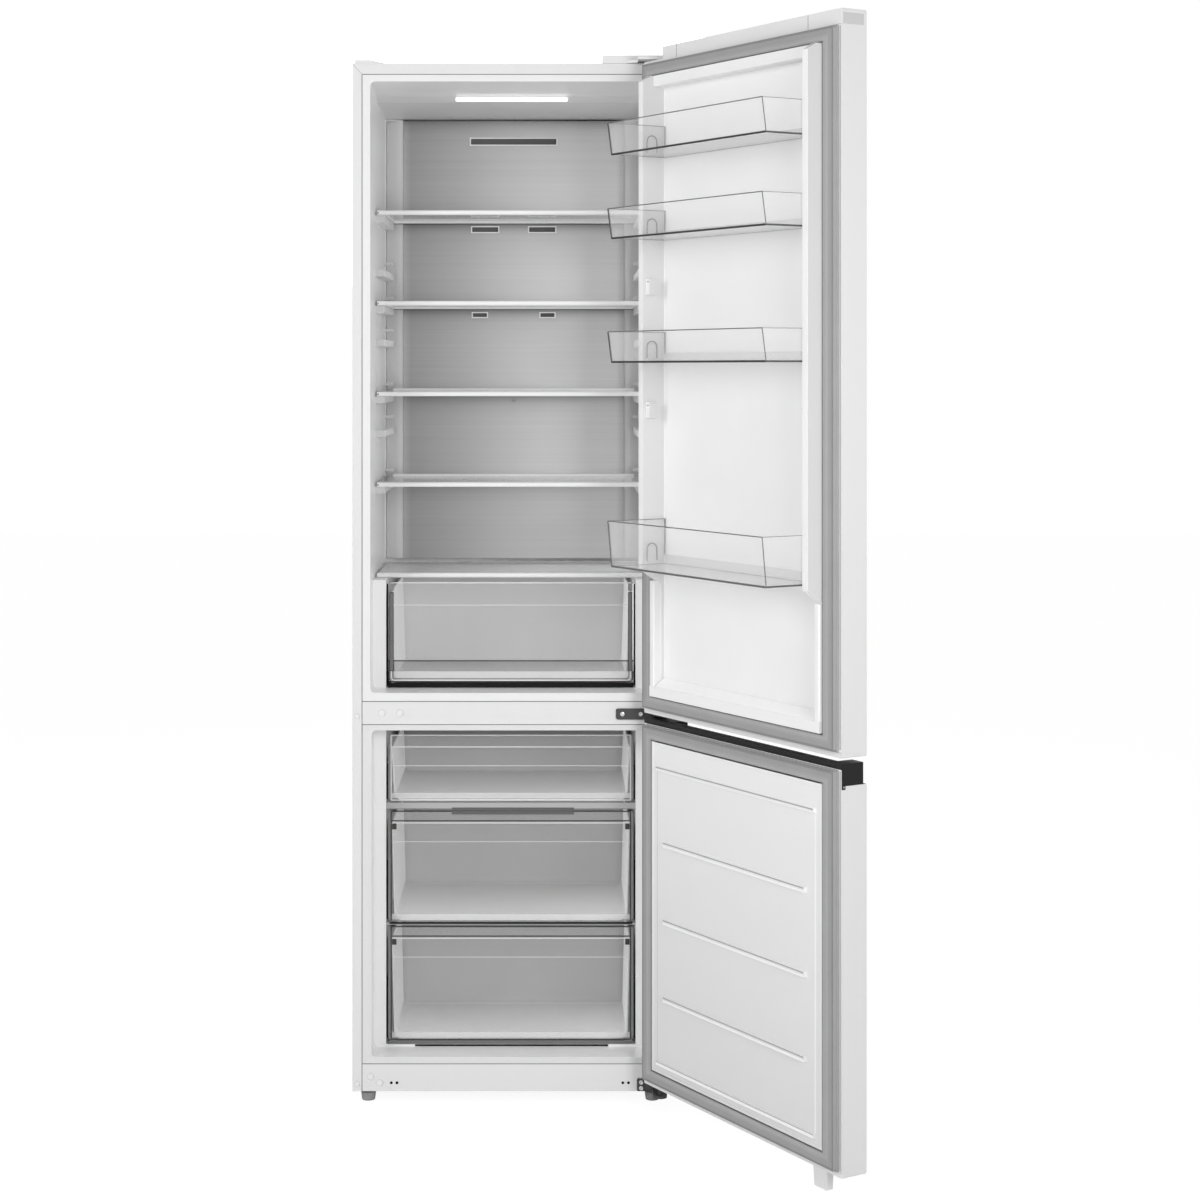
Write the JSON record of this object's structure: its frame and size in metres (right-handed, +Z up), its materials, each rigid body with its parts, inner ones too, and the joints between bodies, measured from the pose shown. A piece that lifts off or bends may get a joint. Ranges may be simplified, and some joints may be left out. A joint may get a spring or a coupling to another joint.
{
  "type": "bottom freezer refrigerator",
  "caption": "Tall free-standing refrigerator with a fridge compartment above a drawer freezer; its right-hung doors swing, its drawers and shelves slide and its door baskets lift off.",
  "frame": {"origin": "on the floor, below the middle of the outline with both doors standing open as pictured", "axes": "+Z up, -Y out of the front, +X to the right seen from the front; the doors hang on the +X side"},
  "size_m": [0.9058, 1.1014, 1.995],
  "materials": {
    "painted_steel": "white paint, satin",
    "door_steel": "white paint, satin",
    "galvanised_steel": "zinc coated, dull",
    "liner_plastic": "white moulded plastic",
    "door_liner_plastic": "white moulded plastic",
    "door_cap_plastic": "white moulded plastic",
    "shelf_trim": "white moulded plastic",
    "shelf_glass": "clear toughened glass",
    "clear_plastic": "clear moulded plastic",
    "basket_plastic": "clear moulded plastic",
    "gasket_rubber": "matt grey seal",
    "insulation": "rigid foam, sealed between the skins",
    "duct_foam": "moulded foam faced with white plastic",
    "brushed_panel": "brushed, grain running across",
    "lamp_lens": "opal lens",
    "hinge_steel": "dark grey coating",
    "black_plastic": "near black, fine texture",
    "feet_plastic": "dark grey",
    "fan_plastic": "white moulded plastic",
    "evaporator_aluminium": "mill finish",
    "condenser_tube": "black lacquered tube",
    "compressor_enamel": "black enamel"
  },
  "bodies": {
    "cabinet": {"cabinet_shell": "painted_steel", "rear_panel": "galvanised_steel", "cabinet_foam": "insulation", "base_pan": "galvanised_steel", "crossbar": "painted_steel", "base_rail": "painted_steel", "fridge_liner": "liner_plastic", "freezer_liner": "liner_plastic", "air_duct": "duct_foam", "metal_back_panel": "brushed_panel", "lamp_lens": "lamp_lens", "crisper_shelf_frame": "shelf_trim", "crisper_shelf_glass": "shelf_glass", "freezer_partition_upper": "shelf_glass", "freezer_partition_lower": "shelf_glass", "freezer_rear_cover": "liner_plastic", "evaporator": "evaporator_aluminium", "fan_motor": "black_plastic", "compressor": "compressor_enamel", "condenser_coil": "condenser_tube", "machine_bay_cover": "black_plastic", "top_hinge": "galvanised_steel", "top_hinge_cover": "door_cap_plastic", "corner_cap": "door_cap_plastic", "middle_hinge": "hinge_steel", "bottom_hinge": "hinge_steel"},
    "fan": {"fan_wheel": "fan_plastic"},
    "foot_left": {"front_foot_left": "feet_plastic"},
    "foot_right": {"front_foot_right": "feet_plastic"},
    "roller_left": {"rear_roller_left": "feet_plastic"},
    "roller_right": {"rear_roller_right": "feet_plastic"},
    "shelf_1": {"shelf_frame_1": "shelf_trim", "shelf_glass_1": "shelf_glass"},
    "shelf_2": {"shelf_frame_2": "shelf_trim", "shelf_glass_2": "shelf_glass"},
    "shelf_3": {"shelf_frame_3": "shelf_trim", "shelf_glass_3": "shelf_glass"},
    "shelf_4": {"shelf_frame_4": "shelf_trim", "shelf_glass_4": "shelf_glass"},
    "crisper": {"crisper_drawer": "clear_plastic"},
    "drawer_upper": {"freezer_drawer_upper": "clear_plastic"},
    "drawer_middle": {"freezer_drawer_middle": "clear_plastic"},
    "drawer_lower": {"freezer_drawer_lower": "clear_plastic"},
    "fridge_door": {"fridge_door_skin": "door_steel", "fridge_door_liner": "door_liner_plastic", "fridge_door_gasket": "gasket_rubber", "fridge_door_foam": "insulation", "fridge_door_top_cap": "door_cap_plastic", "fridge_door_bottom_cap": "door_cap_plastic"},
    "basket_1": {"door_basket_1": "basket_plastic"},
    "basket_2": {"door_basket_2": "basket_plastic"},
    "basket_3": {"door_basket_3": "basket_plastic"},
    "basket_4": {"door_basket_4": "basket_plastic"},
    "freezer_door": {"freezer_door_skin": "door_steel", "freezer_door_liner": "door_liner_plastic", "freezer_door_gasket": "gasket_rubber", "freezer_door_foam": "insulation", "freezer_door_grip_strip": "black_plastic", "freezer_door_bottom_cap": "door_cap_plastic", "freezer_door_lug": "door_cap_plastic"}
  },
  "joints": [
    {"name": "fridge_door_hinge", "type": "hinge", "parent": "cabinet", "child": "fridge_door", "pos_m": [0.13064, -0.02762, 1.3715], "axis": [0, 0, 1], "range_deg": [-121, 9]},
    {"name": "freezer_door_hinge", "type": "hinge", "parent": "cabinet", "child": "freezer_door", "pos_m": [0.13064, -0.02762, 0.3945], "axis": [0, 0, 1], "range_deg": [-121, 9]},
    {"name": "crisper_slide", "type": "slide", "parent": "cabinet", "child": "crisper", "axis": [0, -1, 0], "range_m": [0, 0.25]},
    {"name": "drawer_upper_slide", "type": "slide", "parent": "cabinet", "child": "drawer_upper", "axis": [0, -1, 0], "range_m": [0, 0.26]},
    {"name": "drawer_middle_slide", "type": "slide", "parent": "cabinet", "child": "drawer_middle", "axis": [0, -1, 0], "range_m": [0, 0.26]},
    {"name": "drawer_lower_slide", "type": "slide", "parent": "cabinet", "child": "drawer_lower", "axis": [0, -1, 0], "range_m": [0, 0.2]},
    {"name": "shelf_1_slide", "type": "slide", "parent": "cabinet", "child": "shelf_1", "axis": [0, -1, 0], "range_m": [0, 0.11]},
    {"name": "shelf_2_slide", "type": "slide", "parent": "cabinet", "child": "shelf_2", "axis": [0, -1, 0], "range_m": [0, 0.11]},
    {"name": "shelf_3_slide", "type": "slide", "parent": "cabinet", "child": "shelf_3", "axis": [0, -1, 0], "range_m": [0, 0.11]},
    {"name": "shelf_4_slide", "type": "slide", "parent": "cabinet", "child": "shelf_4", "axis": [0, -1, 0], "range_m": [0, 0.11]},
    {"name": "basket_1_lift", "type": "slide", "parent": "fridge_door", "child": "basket_1", "axis": [0, 0, 1], "range_m": [0, 0.03]},
    {"name": "basket_2_lift", "type": "slide", "parent": "fridge_door", "child": "basket_2", "axis": [0, 0, 1], "range_m": [0, 0.03]},
    {"name": "basket_3_lift", "type": "slide", "parent": "fridge_door", "child": "basket_3", "axis": [0, 0, 1], "range_m": [0, 0.03]},
    {"name": "basket_4_lift", "type": "slide", "parent": "fridge_door", "child": "basket_4", "axis": [0, 0, 1], "range_m": [0, 0.03]},
    {"name": "foot_left_turn", "type": "hinge", "parent": "cabinet", "child": "foot_left", "pos_m": [-0.42386, 0.03438, 0.01], "axis": [0, 0, 1], "continuous": true},
    {"name": "foot_right_turn", "type": "hinge", "parent": "cabinet", "child": "foot_right", "pos_m": [0.11814, 0.03438, 0.01], "axis": [0, 0, 1], "continuous": true},
    {"name": "roller_left_turn", "type": "hinge", "parent": "cabinet", "child": "roller_left", "pos_m": [-0.41486, 0.50838, 0.015], "axis": [1, 0, 0], "continuous": true},
    {"name": "roller_right_turn", "type": "hinge", "parent": "cabinet", "child": "roller_right", "pos_m": [0.10914, 0.50838, 0.015], "axis": [1, 0, 0], "continuous": true},
    {"name": "fan_spin", "type": "hinge", "parent": "cabinet", "child": "fan", "pos_m": [-0.15286, 0.42338, 0.61], "axis": [0, 1, 0], "continuous": true}
  ]
}
